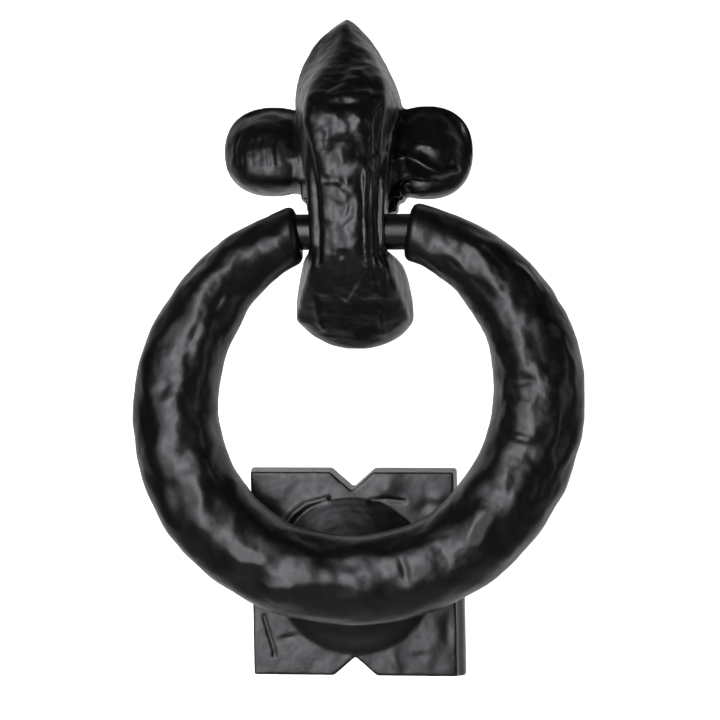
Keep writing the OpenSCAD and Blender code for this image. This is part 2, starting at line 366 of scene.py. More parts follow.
def dress(context, obj, node, slot, sharp=180):
    """Finishes a piece: its material, its shading, its body and the node it stands for."""
    obj.data.materials.clear()
    obj.data.materials.append(material_of(context, FINISHES[slot]))
    obj.data.shade_smooth()
    if sharp < 180:
        obj.data.set_sharp_from_angle(angle=math.radians(sharp))
    bodies = frame["record"]["behaviour"]["bodies"]
    body = next(name for name, nodes in bodies.items() if node in nodes)
    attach(obj, body)
    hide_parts(node)


# ---- Materials ----

def add_node(tree, kind, links=None, **settings):
    """Adds a node. Settings name its properties or sockets, and links name what feeds them."""
    node = tree.nodes.new(kind)
    for name, value in settings.items():
        if hasattr(node, name):
            setattr(node, name, value)
        else:
            node.inputs[name.replace("_", " ")].default_value = value
    for name, source in (links or {}).items():
        tree.links.new(source, node.inputs[name])
    return node


def new_material(name):
    """An empty node material with a Principled shader, and its Object coordinates."""
    material = bpy.data.materials.new(name)
    material.use_nodes = True
    tree = material.node_tree
    place = add_node(tree, "ShaderNodeTexCoord").outputs["Object"]
    return material, tree, tree.nodes["Principled BSDF"], place


def pattern(tree, place, size, detail=2.0, stretch=(1, 1, 1)):
    """Noise whose cells are about this many metres wide."""
    spread = add_node(tree, "ShaderNodeMapping", {"Vector": place})
    spread.inputs["Scale"].default_value = stretch
    return add_node(
        tree, "ShaderNodeTexNoise", {"Vector": spread.outputs[0]},
        Scale=1 / size, Detail=detail, Roughness=0.55,
    ).outputs[0]


def blend_colours(tree, factor, first, second):
    blend = add_node(tree, "ShaderNodeMix", data_type="RGBA")
    tree.links.new(factor, blend.inputs[0])
    blend.inputs[6].default_value = (*first, 1)
    blend.inputs[7].default_value = (*second, 1)
    return blend.outputs[2]


def spread_values(tree, value, low, high):
    """Turns noise that stays between 0.3 and 0.7 into a value between low and high."""
    return add_node(
        tree, "ShaderNodeMapRange", {"Value": value},
        From_Min=0.3, From_Max=0.7, To_Min=low, To_Max=high,
    ).outputs[0]


def raise_surface(tree, layers):
    """Stacks bumps of (pattern, height in metres), and gives the normal that they make."""
    normal = None
    for height, distance in layers:
        bump = add_node(tree, "ShaderNodeBump", {"Height": height}, Distance=distance)
        if normal:
            tree.links.new(normal, bump.inputs["Normal"])
        normal = bump.outputs[0]
    return normal


def feed(tree, shader, base, roughness, normal):
    """Gives the shader the colour, the roughness and the relief of its surface."""
    for name, source in (("Base Color", base), ("Roughness", roughness), ("Normal", normal)):
        tree.links.new(source, shader.inputs[name])


def powder_coated_cast_iron(name, finish):
    """Black polyester powder coat, sprayed and baked on sand-cast iron.

    The eye sees deep black with a satin shine that breaks up over the casting's grain, a
    fine orange peel in the coat itself, and slightly greyer, drier coat in broad clouds.
    """
    material, tree, shader, place = new_material(name)
    cloud = pattern(tree, place, 9 * MM)
    grain = pattern(tree, place, 1.7 * MM, 3.0)
    peel = pattern(tree, place, 0.6 * MM)
    pits = add_node(
        tree, "ShaderNodeTexVoronoi", {"Vector": place}, feature="F1", Scale=1 / (2.6 * MM),
    ).outputs["Distance"]
    pit_depth = add_node(
        tree, "ShaderNodeMapRange", {"Value": pits},
        From_Min=0.05, From_Max=0.3, To_Min=0.0, To_Max=1.0,
    ).outputs[0]
    feed(
        tree, shader,
        blend_colours(tree, spread_values(tree, cloud, 0, 1), finish.coat, finish.coat_worn),
        spread_values(tree, grain, 0.30, 0.39),
        raise_surface(tree, [(grain, 0.036 * MM), (pit_depth, 0.01 * MM), (peel, 0.012 * MM)]),
    )
    return material


def powder_coated_steel(name, finish):
    """Black powder coat on a turned steel pin: smoother and a little glossier than on iron."""
    material, tree, shader, place = new_material(name)
    cloud = pattern(tree, place, 5 * MM)
    peel = pattern(tree, place, 0.7 * MM)
    feed(
        tree, shader,
        blend_colours(tree, spread_values(tree, cloud, 0, 1), finish.pin_coat, finish.coat_worn),
        spread_values(tree, cloud, 0.26, 0.34), raise_surface(tree, [(peel, 0.02 * MM)]),
    )
    return material


def zinc_plated_steel(name, finish):
    """Bright zinc plate on turned and rolled steel fixings.

    The eye sees pale, faintly blue metal with duller clouds, and the fine lines that the
    rolling and turning left under the plate.
    """
    material, tree, shader, place = new_material(name)
    cloud = pattern(tree, place, 4 * MM, 3.0)
    # Real turning lines are about 0.1 mm apart, drawn coarser so that they show
    lines = pattern(tree, place, 1.2 * MM, 2.0, stretch=(1, 5, 1))
    shader.inputs["Metallic"].default_value = 1.0
    feed(
        tree, shader,
        blend_colours(tree, spread_values(tree, cloud, 0, 1), finish.zinc, finish.zinc_dull),
        spread_values(tree, cloud, 0.24, 0.42), raise_surface(tree, [(lines, 0.03 * MM)]),
    )
    return material


FINISHES = {
    "coated_iron": powder_coated_cast_iron, "coated_steel": powder_coated_steel,
    "zinc_steel": zinc_plated_steel,
}


def material_of(context, make):
    """The material that this function makes, made once."""
    name = make.__name__
    found = bpy.data.materials.get(name)
    return found or make(name, context.scene.knocker_finish)


# ---- Ring ----

# Where the hand-worked ring leaves a true circle: degrees from its bottom, positive to the
# right, then how far its middle line stands out and how much thicker it is, in millimetres
RING_DRIFT = [
    (-165, 0.0, 0.0), (-125, -2.0, 0.2), (-90, -0.4, -0.6), (-60, 0.8, 0.0), (-30, 0.4, 0.3),
    (0, -0.9, 0.9), (30, -0.6, 0.4), (60, -0.4, 0.2), (105, 0.6, 0.3), (130, 0.0, 0.6),
    (165, 0.0, 0.0),
]
RIGHT_REACH = 1.011  # the right limb is this much longer than the left
END_PINCH = 1.8     # mm that each end stands inside the true circle
TAPER_SPAN = 78     # degrees over which each end grows to full thickness
END_TURN = 9        # degrees that each end turns towards the pin
RING_SAG = 0.9      # mm that the bottom hangs below the true circle
PINCH_SPAN = 36     # degrees over which each end comes in and turns
REST_GAP = 0.3      # mm between the hanging ring and the boss
ROW_CROWD = 1.5     # how strongly the rows crowd towards the two ends
CROWD_SHARE = 0.35

# Marks left by the hammer: degrees from the bottom, degrees round the bar from the front
# towards the outer edge, half length, half width and depth in mm (a lump is negative)
RING_MARKS = [
    (-70, 5, 3.0, 4.5, 0.55), (-66, -22, 4.0, 3.0, -0.45), (-58, 18, 4.5, 4.0, 0.4),
    (-92, 6, 2.6, 2.4, 0.45), (-101, 14, 3.2, 2.6, -0.4), (-112, -20, 5.0, 1.3, 0.35),
    (-124, -30, 6.0, 1.2, 0.35), (-121, 8, 3.0, 3.5, -0.45), (-38, 4, 6.0, 3.5, -0.4),
    (-20, 34, 3.0, 2.5, -0.55), (17, -6, 1.2, 4.5, 0.55), (24, -14, 3.4, 4.0, -0.55),
    (36, -26, 3.0, 3.2, 0.45), (46, -12, 5.5, 3.8, -0.4), (62, 22, 2.6, 2.0, 0.5),
    (70, 10, 1.6, 2.6, 0.45), (76, -20, 1.2, 3.6, -0.55), (80, 26, 3.6, 1.5, -0.5),
    (86, -18, 2.4, 3.0, -0.35), (95, -22, 1.4, 3.8, 0.45), (104, -16, 3.6, 3.4, -0.35),
    (118, -20, 2.6, 2.4, 0.4), (128, -12, 3.0, 2.0, -0.35), (136, 20, 5.0, 1.4, 0.35),
    (124, 42, 6.0, 1.6, -0.4), (142, -34, 2.0, 1.4, 0.35),
]


class RingShape:
    """Where the middle line of the ring runs, and how thick the bar is along it."""

    def __init__(self, settings):
        self.round = settings.end_round
        self.side, self.bottom = settings.side / 2, settings.bottom / 2
        self.end = settings.end / 2
        self.radius = (ring_hi.x - ring_lo.x) / 2 - self.side
        end_radius = self.radius - END_PINCH * MM
        self.last = 180 - math.degrees(math.asin(settings.gap / 2 / end_radius))
        self.drop = end_radius * math.cos(math.radians(180 - self.last))
        bottom_drop = self.drop + self.radius + RING_SAG * MM
        rest = REST_GAP * MM - plate_lo.y + self.bottom + pivot.y
        self.lean = math.asin(rest / bottom_drop)
        shift = (ring_lo.x + ring_hi.x) / 2
        self.place = (
            Matrix.Translation((shift, pivot.y, pivot.z)) @ Matrix.Rotation(-self.lean, 4, "X")
        )

    def half(self, angle):
        full = mix(self.bottom, self.side, smooth(0, 60, abs(angle)))
        grown = smooth(0, TAPER_SPAN, self.last - abs(angle))
        return mix(self.end, full, grown)

    def section(self, angle, q):
        """The point at angle degrees from the bottom and q radians round the bar."""
        near = smooth(self.last - PINCH_SPAN, self.last, abs(angle))
        sag = RING_SAG * smooth(0, 90, 90 - abs(angle))
        radius = self.radius + (sag - END_PINCH * near + flow(RING_DRIFT, 1, angle)) * MM
        turn = math.radians(angle + math.copysign(END_TURN, angle) * near)
        left = max(self.last - abs(angle), 0) / 360 * 2 * math.pi * radius
        inside = max(self.round - left, 0)
        half = self.half(angle) - self.round + math.sqrt(max(self.round ** 2 - inside ** 2, 0))
        wide = half + flow(RING_DRIFT, 2, angle) * MM
        a = math.radians(angle if angle < 0 else angle * RIGHT_REACH)
        return self.place @ Vector((
            radius * math.sin(a) + wide * math.cos(q) * math.sin(turn),
            -half * math.sin(q),
            -self.drop - radius * math.cos(a) - wide * math.cos(q) * math.cos(turn),
        ))

    def unroll(self, points):
        """Degrees from the bottom, and degrees round the bar from the front, of each point."""
        flat = self.place.inverted()
        local = points @ np.array(flat.to_3x3()).T + np.array(flat.translation)
        x, y, z = local[:, 0], local[:, 1], local[:, 2] + self.drop
        along = np.degrees(np.arctan2(x, -z))
        out = np.hypot(x, z) - self.radius
        return along, np.degrees(np.arctan2(out, -y))


class KNOCKER_OT_ring(bpy.types.Operator):
    """Builds the hammered ring"""
    bl_idname = "knocker.ring"
    bl_label = "Ring"

    def execute(self, context):
        settings = context.scene.knocker_ring
        shape = RingShape(settings)

        def rolled(u, v):
            reach = math.tanh(ROW_CROWD * (2 * v - 1)) / math.tanh(ROW_CROWD)
            along = mix(2 * v - 1, reach, CROWD_SHARE)
            return shape.section(shape.last * along, 2 * math.pi * u)

        bm = bmesh.new()
        add_surface(bm, 132, 480, rolled)
        ring = to_object(bm, "knocker_ring_cast")

        def hammered(points, normals):
            along, round_bar = shape.unroll(points)
            arc = np.radians(along) * shape.radius / MM
            side = np.radians(round_bar) * shape.side / MM
            depth = settings.lump * lumps(points, settings.lump_size, 1)
            depth += settings.lump * 0.32 * lumps(points, settings.lump_size * 0.5, 2)
            # The hammer has flattened the outer and inner edges of the bar
            depth *= mix(0.45, 1, smooth(80, 45, np.abs(round_bar)))
            rough = smooth(0.0, 0.45, lumps(points, 26 * MM, 5) + 0.3 * smooth(10, 60, along))
            rough = mix(0.35, 1, rough)
            depth += 0.1 * MM * rough * lumps(points, 2.6 * MM, 3)
            depth += 0.04 * MM * rough * lumps(points, 1.5 * MM, 4)
            for at, turn, long, wide, deep in RING_MARKS:
                place = (math.radians(at) * shape.radius / MM, math.radians(turn) * shape.side / MM)
                depth -= deep * MM * dent(arc, side, place, (long, wide))
            calm = smooth(0, 8, shape.last - np.abs(along))
            return np.clip(depth - 0.12 * MM, -1.2 * MM, 0.45 * MM) * calm

        sculpt(ring, hammered)
        keep_within(ring, ring_lo, ring_hi)
        dress(context, ring, "knocker_ring", "coated_iron")
        return {"FINISHED"}


class KNOCKER_OT_pin(bpy.types.Operator):
    """Builds the pivot pin that joins the two ends of the ring"""
    bl_idname = "knocker.pin"
    bl_label = "Pivot pin"

    def execute(self, context):
        shape = RingShape(context.scene.knocker_ring)
        half = (pin_hi.x - pin_lo.x) / 2
        radius = (pin_hi.y - pin_lo.y) / 2 - 0.02 * MM
        chamfer = 0.8 * MM
        profile = [(0, -half), (radius - chamfer, -half), (radius, chamfer - half)]
        profile += [(radius, half * k / 8) for k in range(-7, 8)]
        profile += [(radius, half - chamfer), (radius - chamfer, half), (0, half)]
        bm = bmesh.new()
        add_turned(bm, profile, 72, axis=(1, 0, 0))
        bmesh.ops.transform(bm, matrix=shape.place, verts=bm.verts)
        pin = to_object(bm, "pivot_pin_coated")
        dress(context, pin, "pivot_pin", "coated_steel", 40)
        return {"FINISHED"}


# ---- Bracket ----

# Stations up the stem, in millimetres: height, the left and right edges against the door,
# the left and right edges of the front face, how far the front stands out, and how far the
# side walls rise straight before they lean in
STEM = [
    (37.0, -2.9, -1.9, -2.7, -2.1, 3.2, 1.2), (36.2, -4.2, -0.5, -3.3, -1.3, 4.6, 2.0),
    (34.4, -6.7, 1.3, -4.2, -0.6, 6.8, 3.0), (31.2, -10.0, 4.2, -4.6, 0.9, 10.0, 3.8),
    (27.9, -12.4, 6.4, -5.4, 3.4, 13.2, 4.5), (23.0, -14.6, 9.1, -7.6, 6.6, 17.6, 5.5),
    (18.0, -15.8, 11.4, -10.0, 8.8, 22.8, 7.5), (13.0, -16.0, 12.7, -11.2, 9.4, 27.0, 10.0),
    (8.0, -15.6, 12.0, -11.6, 8.8, 29.3, 13.0), (4.0, -14.8, 11.4, -11.0, 8.2, 30.2, 17.0),
    (0.0, -13.6, 10.8, -10.2, 8.0, 31.0, 21.5), (-5.0, -12.4, 10.2, -9.0, 7.9, 31.4, 25.0),
    (-11.0, -11.4, 9.8, -8.2, 7.9, 31.5, 27.6), (-18.0, -10.7, 9.6, -7.7, 7.9, 31.5, 27.8),
    (-24.0, -10.5, 9.6, -7.6, 8.0, 31.4, 27.8), (-27.2, -10.7, 9.9, -7.9, 8.4, 31.1, 26.5),
    (-30.0, -13.0, 12.6, -8.8, 9.4, 30.3, 17.0), (-33.0, -14.2, 14.0, -10.4, 10.8, 28.6, 12.0),
    (-37.0, -15.3, 15.0, -12.2, 12.4, 24.4, 8.0), (-41.0, -15.9, 15.7, -13.8, 13.7, 19.4, 6.0),
    (-44.6, -16.0, 15.9, -15.0, 14.9, 15.2, 5.0), (-45.8, -15.8, 15.7, -15.0, 14.9, 13.9, 4.6),
    (-47.6, -14.0, 14.4, -13.2, 13.6, 11.9, 4.4), (-49.3, -12.1, 12.8, -11.2, 11.9, 10.2, 4.2),
    (-50.9, -9.4, 10.4, -8.6, 9.6, 8.6, 4.0), (-52.4, -6.0, 6.9, -5.3, 6.2, 7.0, 3.6),
    (-53.2, -2.6, 3.4, -2.2, 3.0, 5.8, 3.2),
]
STEM_TOP, STEM_BOTTOM = STEM[0][0], STEM[-1][0]
LOBE_LEAN = 0.36    # how far the front of each lobe leans back for each mm of its height
LOBE_HINGE = 7      # mm below its middle where the lean starts
# Each lobe is a ball and a second one that runs into the stem: middles and radii, in mm
LOBES = [
    ((-22.7, -2.6, 0.9), (13.4, 12.4, 12.3)), ((-11.0, -2.4, 0.9), (13.0, 12.0, 12.3)),
    ((19.4, -2.6, 0.4), (12.7, 12.4, 12.8)), ((9.5, -2.4, 0.4), (11.0, 11.8, 12.7)),
]
# The band behind the stem, which ends in a small step below the lobes: corners, in mm
BAND = [((-14.4, -12, -13.4), (13.6, 0, -4)), ((-12.8, -10, -16.4), (11.8, 0, -9))]
STUD_BOSS = (8.5, 19)   # mm: radius, and how far it reaches from the door
KEEPER_LAND = 3.2       # mm of iron above and below the keeper strap
PAST_DOOR = 5           # mm that each cutter stands out past the door's face
SOLID_FOOT, SOLID_TIP = 7, 11   # mm left solid at the bottom of the tail and the petal's tip


def stem_outline(height, inset=0.0):
    """The stem's D-shaped outline at one height, as (across, out) points in millimetres."""
    left, right, front_left, front_right, out, foot = (
        flow(STEM, column, height) for column in range(1, 7)
    )
    left, front_left = left + inset, front_left + inset
    right, front_right = right - inset, front_right - inset
    out, foot = max(out - inset, 1.0), max(foot - inset, 0.5)
    middle, half = (front_left + front_right) / 2, max((front_right - front_left) / 2, 0.2)
    crown = min(1.5, out * 0.2, half * 0.5)
    shoulder = min(0.32, 2.6 / (2 * half))
    points = []
    for edge, front, turn in ((right, front_right, 1), (left, front_left, -1)):
        side = [(edge, 0.0), (edge, foot * 0.5), (edge, foot)]
        corner = Vector((front, out - crown))
        wall = Vector((edge, foot))
        start = wall.lerp(corner, max(1 - 3.0 / max((corner - wall).length, 3.01), 0.3))
        across = mix(1, -1, shoulder)
        end = Vector((middle + turn * half * across, out - crown * across ** 2))
        side += [tuple(wall.lerp(start, k / 5)) for k in range(1, 5)]
        for k in range(9):
            t = k / 8
            side.append(tuple(start * (1 - t) ** 2 + corner * 2 * t * (1 - t) + end * t * t))
        points.append(side)
    across = mix(1, -1, shoulder)
    front = [
        (middle + half * across * s, out - crown * (across * s) ** 2)
        for s in (1 - k / 8 for k in range(1, 16))
    ]
    back = [(mix(left, right, k / 8), 0.0) for k in range(1, 8)]
    return points[0] + front + points[1][::-1] + back


def add_stem(bm, low, high, inset=0.0, back=0.0):
    """The stem between two heights, or the room inside it."""
    rows = {}

    def rolled(u, v):
        height = mix(low, high, v)
        if v not in rows:
            rows[v] = stem_outline(height, inset)
        count = len(rows[v])
        across, out = rows[v][int(round(u * count)) % count]
        return Vector((across, back if out <= 0 else -out, height)) * MM

    count = len(stem_outline(0))
    add_surface(bm, count, max(int((high - low) / 0.8), 6), rolled)


def add_lobe(bm, middle, radii, bulge=2.3):
    """One rounded lobe: a ball that is a little squarer than a true one."""
    made = bmesh.ops.create_uvsphere(bm, u_segments=48, v_segments=32, radius=1)["verts"]
    for vert in made:
        squared = sum(abs(c) ** bulge for c in vert.co) ** (-1 / bulge)
        vert.co = scale_by(vert.co * squared, radii)
        front = smooth(2, -8, min(vert.co.y, 0))
        vert.co.y += LOBE_LEAN * (vert.co.z + LOBE_HINGE) * front
        vert.co = (Vector(middle) + vert.co) * MM


def bracket_blank():
    """The solid bracket before its back is hollowed."""
    bm = bmesh.new()
    add_stem(bm, STEM_BOTTOM, STEM_TOP)
    bracket = to_object(bm, "fleur_bracket_cast")
    for middle, radii in LOBES:
        bm = bmesh.new()
        add_lobe(bm, middle, radii)
        combine(bracket, to_object(bm, "lobe"), "UNION")
    for lo, hi in BAND:
        combine(bracket, block("band", Vector(lo) * MM, Vector(hi) * MM), "UNION")
    return bracket


def hollow_back(bracket, wall):
    """Cuts the rooms, the keeper's pocket and the pin's slot, and leaves the stud boss."""
    keeper = (strap_hi - strap_lo) / 2 + Vector((0, 0, KEEPER_LAND * MM))
    low, high = pivot.z - keeper.z, pivot.z + keeper.z
    for bottom, top in ((STEM_BOTTOM + SOLID_FOOT, low / MM), (high / MM, STEM_TOP - SOLID_TIP)):
        bm = bmesh.new()
        add_stem(bm, bottom, top, wall / MM, back=2.0)
        combine(bracket, to_object(bm, "room"), "DIFFERENCE")
    radius, deep = (size * MM for size in STUD_BOSS)
    boss = [(0, -deep), (radius, -deep), (radius, 0), (0, 0)]
    combine(bracket, turned("boss", boss, 64), "UNION")
    slide = Vector((0.4, 0, 0.4)) * MM
    pocket_hi = Vector((strap_hi.x, PAST_DOOR * MM, strap_hi.z)) + slide
    combine(bracket, block("pocket", strap_lo - slide, pocket_hi), "DIFFERENCE")
    slot_r, reach = (pin_hi.y - pin_lo.y) / 2 + 0.3 * MM, 40 * MM
    bore = [(0, -reach), (slot_r, -reach), (slot_r, reach), (0, reach)]
    combine(bracket, turned("bore", bore, 48, (1, 0, 0), pivot), "DIFFERENCE")
    slot_lo = (-reach, pivot.y, pivot.z - slot_r)
    slot_hi = (reach, PAST_DOOR * MM, pivot.z + slot_r)
    combine(bracket, block("slot", slot_lo, slot_hi), "DIFFERENCE")


# Creases and ridges of the bracket's front: height (below 0 for a crease), half width, and
# the points that it runs through, across and up, all in mm
BRACKET_LINES = [
    # Soft creases across the strap
    (-0.42, 1.1, [(-5.5, -9.6), (-2.5, -9.8), (-0.4, -12.0)]),
    (0.25, 1.2, [(-5.5, -7.6), (-2.5, -7.6), (-0.2, -9.6)]),
    (-0.3, 1.0, [(1.2, -16.0), (0.8, -18.5), (-0.8, -20.5)]),
    # The curled ridge on the petal, and the ridges on the tail
    (0.25, 1.1, [(3.4, 19.6), (5.0, 17.2), (5.4, 13.6)]),
    (0.45, 0.7, [(4.4, -32.2), (1.6, -36), (-1.2, -40)]),
    (0.3, 0.7, [(-9.6, -40), (-9.2, -46), (-8.2, -48)]),
    (0.4, 0.8, [(7.6, -44), (8.0, -49)]),
]
# Dents of the bracket's front: height, middle, two radii, and degrees turned
BRACKET_DENTS = [
    # Down the middle
    (-0.32, (-0.6, 10.8), (2.0, 1.2), 0), (-0.4, (1.9, -3.4), (1.1, 2.0), 0),
    (-0.42, (-1.8, -28.8), (1.2, 1.3), 0), (-0.3, (-0.5, -33.0), (1.0, 1.6), 0),
    (-0.5, (6.4, 15.0), (1.5, 3.2), 0), (0.45, (-4.4, 8.0), (2.4, 2.2), 0),
    (-0.42, (-5.6, 0.5), (1.3, 2.6), 0), (-0.22, (0.6, 4.0), (1.4, 1.8), 0),
    (0.35, (-2.0, -3.0), (1.7, 3.4), 0), (0.2, (2.6, -24.5), (1.6, 3.2), 0),
    (0.35, (4.0, 6.6), (1.6, 2.0), 0), (0.3, (-1.8, -13.6), (2.4, 2.2), 0),
    (-0.2, (-2.4, -24.0), (1.6, 3.0), 0), (-0.25, (3.6, -9.0), (1.2, 2.4), 0),
    # Where the left lobe meets the stem, and above the right lobe's curl
    (0.5, (-15.6, -1.6), (1.6, 2.6), 0), (0.5, (-14.2, -7.5), (2.2, 1.4), 0),
    (-0.7, (20.4, -0.8), (3.0, 1.9), -20), (0.5, (19.5, 2.2), (3.4, 1.2), -10),
]
# The dark line between the left shoulder and the front face
SHOULDER = [(-12.2, 9), (-11.0, 2), (-9.6, -6), (-8.4, -12), (-7.8, -20), (-7.9, -31)]
# The right lobe's curled lower edge
CURL = [(9, -3.0), (13.6, -1.2), (17, -2.6), (20.3, -4.6), (24.0, -6.3), (29, -5.4)]


def bracket_relief(x, z):
    """The dents and ridges of the bracket's front, in millimetres, positive outwards."""
    relief = carve(x, z, BRACKET_LINES, BRACKET_DENTS)
    # Three fine ridges beside the right edge of the strap, which spread over the tail
    for at, foot in ((4.6, 5.6), (6.6, 7.6), (8.2, 10.2)):
        ridge = line(x, z, [(at, -7), (at, -20), (at + 0.3, -28), (foot, -38)], 0.42)
        relief += 0.6 * ridge * smooth(-39, -35, z) * smooth(-5, -9, z)
    relief -= 0.75 * line(x, z, SHOULDER, 0.9) * smooth(6, -4, z) * smooth(-34, -30, z)
    # The right half of the strap falls away a little more
    relief -= 0.05 * np.clip(x - 2.2, 0, 6) ** 2 * smooth(14, 6, z) * smooth(-34, -28, z)
    # Curved file marks on the left lobe
    for k in range(6):
        mark = [(-31.5 + 2.3 * k, 4.5), (-32.3 + 2.3 * k, 1), (-31.8 + 2.3 * k, -3.5)]
        relief -= 0.16 * line(x, z, mark, 0.45)
    relief += 0.75 * line(x, z, CURL, 1.1)
    # The right lobe falls away below its curl
    under = np.interp(x, [point[0] for point in CURL], [point[1] for point in CURL])
    below = smooth(0.5, 5.5, under - z) * smooth(9, 15, x) * smooth(-30, -26, -x)
    return relief - 1.3 * below * smooth(-13.5, -10.5, z)


class KNOCKER_OT_bracket(bpy.types.Operator):
    """Builds the fleur-de-lis bracket, with its hollow back"""
    bl_idname = "knocker.bracket"
    bl_label = "Fleur bracket"

    def execute(self, context):
        settings = context.scene.knocker_bracket
        bracket = bracket_blank()
        hollow_back(bracket, settings.wall)
        cell = settings.cell * 1
        recast(bracket, cell, 5)
        flatten_back(bracket)

        def worked(points, normals):
            x, z = points[:, 0] / MM, points[:, 2] / MM
            front = smooth(0.1, 0.6, -normals[:, 1])
            outside = smooth(1.5, 4, -points[:, 1] / MM)
            depth = bracket_relief(x, z) * MM * front
            rest = settings.lump * lumps(points, 8 * MM, 11)
            rest += settings.lump * 0.5 * lumps(points, 4 * MM, 12)
            rest += 0.07 * MM * lumps(points, 2 * MM, 13)
            strap = smooth(9, 5, np.abs(x)) * smooth(28, 16, z) * smooth(-36, -32, z)
            rest *= 0.7 + 0.8 * strap
            return (depth + rest - 0.1 * MM) * outside

        sculpt(bracket, worked)
        flatten_back(bracket)
        dress(context, bracket, "fleur_bracket", "coated_iron")
        return {"FINISHED"}


# ---- Strike plate ----

def plate_blank(settings):
    """The plate with its notches, before its boss is added and its back is hollowed."""
    half, foot = (plate_hi.x - plate_lo.x) / 2, 2.5 * MM
    thick = -plate_lo.y - settings.boss_h
    mouth, deep = settings.notch_w / 2, settings.notch_h
    top = [(half, half), (mouth, half), (0, half - deep), (-mouth, half), (-half, half)]
    outline = top + [(-x, -z) for x, z in top]
    bm = bmesh.new()
    face = bm.faces.new([bm.verts.new((x, 0, z)) for x, z in outline])
    for out, inwards in ((foot, 0.0), (thick, 0.7 * MM)):
        made = bmesh.ops.extrude_face_region(bm, geom=[face])["geom"]
        face = next(g for g in made if isinstance(g, bmesh.types.BMFace))
        share = 1 - inwards / half
        for vert in face.verts:
            vert.co = Vector((vert.co.x * share, -out, vert.co.z * share))
    inner = [f for f in bm.faces if all(abs(vert.co.y + foot) < 1e-7 for vert in f.verts)]
    bmesh.ops.delete(bm, geom=inner, context="FACES_ONLY")
    bmesh.ops.translate(bm, verts=bm.verts, vec=(0, 0, plate_mid.z))
    bmesh.ops.triangulate(bm, faces=[f for f in bm.faces if len(f.verts) > 4])
    return to_object(bm, "strike_plate_cast"), thick


# Half of the boss: millimetres from its axis, and height as a share of the whole
BOSS = [
    (0, 1.0), (6, 0.985), (10, 0.95), (12.5, 0.9), (14.5, 0.82), (16.3, 0.67), (17.8, 0.47),
    (19, 0.27), (20.2, 0.11), (21.6, 0.0),
]


def boss_profile(settings, thick):
    """Half of the boss: a low dome, a soft shoulder and a dark concave foot."""
    radii = np.linspace(0, BOSS[-1][0], 28)
    points = [(r * MM, -thick - settings.boss_h * flow(BOSS, 1, r)) for r in radii]
    return points + [(BOSS[-1][0] * MM, -thick / 2), (0, -thick / 2)]


# Creases and dents of the plate's face, as on the bracket, from the middle of the plate
PLATE_LINES = [
    (0.5, 0.9, [(-18.5, 12.5), (-16, 16), (-12.5, 18.8), (-7, 20.2)]),
    (-0.35, 0.6, [(5, 19.8), (9, 20.2), (14, 19.6)]),
    (-0.3, 0.4, [(-24.6, -11.5), (-21.8, -21.5)]),
]
PLATE_DENTS = [
    (0.5, (9.5, 23.5), (3.6, 2.4), 20), (-0.45, (-22, 15), (2.8, 3.6), 0),
    (0.3, (-19.4, 13.4), (1.4, 1.2), 0), (-0.3, (20, 18.5), (3.0, 1.6), 30),
    (0.25, (23, 20.5), (2.4, 1.6), 30), (-0.25, (-18.5, -17.5), (2.6, 0.8), 12),
    (-0.2, (17.5, -22), (1.8, 1.2), 0), (-0.25, (25.0, -15), (1.4, 3.4), 0),
    (0.2, (11, -24), (1.2, 2.4), 20), (-0.3, (-21.9, -22.2), (0.6, 0.6), 0),
]
PLATE_LEAN = 0.02   # how far the sides lean to the left for each mm of height
WIDE_FOOT = 1.5     # mm that the lower right corner stands out
ROOM_R = 18.5       # mm: radius of the room in the back
FACE_WALL = 4.5     # mm of iron in front of the room
PILLAR_R = 8.5      # mm: radius of the pillar that holds the stud


class KNOCKER_OT_plate(bpy.types.Operator):
    """Builds the strike plate with its boss"""
    bl_idname = "knocker.plate"
    bl_label = "Strike plate"

    def execute(self, context):
        settings = context.scene.knocker_plate
        plate, thick = plate_blank(settings)
        middle = (0, 0, plate_mid.z)
        combine(plate, turned("boss", boss_profile(settings, thick), 96, at=middle), "UNION")
        room, pillar, floor = ROOM_R * MM, PILLAR_R * MM, FACE_WALL * MM - thick
        hollow = [(pillar, floor), (room, floor), (room, 3 * MM), (pillar, 3 * MM)]
        combine(plate, turned("room", hollow, 96, at=middle), "DIFFERENCE")
        recast(plate, (0.45) * MM, 3)
        flatten_back(plate)

        def worked(points, normals):
            x, z = points[:, 0] / MM, (points[:, 2] - plate_mid.z) / MM
            front = smooth(0.3, 0.8, -normals[:, 1])
            outside = smooth(1, 3, -points[:, 1] / MM)
            off_boss = smooth(17, 21, np.hypot(x, z))
            depth = carve(x, z, PLATE_LINES, PLATE_DENTS) * MM * front * off_boss
            # The ring has worn the upper side of the boss to a long slope
            cone = np.clip((21 - np.hypot(x, z)) / 11, 0, 1)
            boss = np.array([flow(BOSS, 1, r) for r in np.hypot(x, z)])
            depth -= settings.boss_h * (boss - cone) * smooth(0, 9, z) * front
            depth += settings.lump * lumps(points, 9 * MM, 21) * front
            depth += settings.lump * 0.2 * lumps(points, 3.5 * MM, 22)
            return (depth - 0.12 * MM) * outside

        sculpt(plate, worked)
        for vert in plate.data.vertices:
            up = (vert.co.z - plate_mid.z) / MM
            vert.co.x -= PLATE_LEAN * up * MM
            low_right = smooth(8, -6, up) * smooth(20, 28, vert.co.x / MM)
            vert.co.x += WIDE_FOOT * MM * low_right * smooth(-9, -4, vert.co.y / MM)
        flatten_back(plate)
        dress(context, plate, "strike_plate", "coated_iron")
        return {"FINISHED"}


# ---- Fixings ----

THREAD_FROM = 36    # mm from the door's face to the first thread
SHANK_R = 3.5       # mm: radius of the stud between its threads
WASHER_HOLE_R = 4.3
NUT_CHAMFER = math.radians(30)


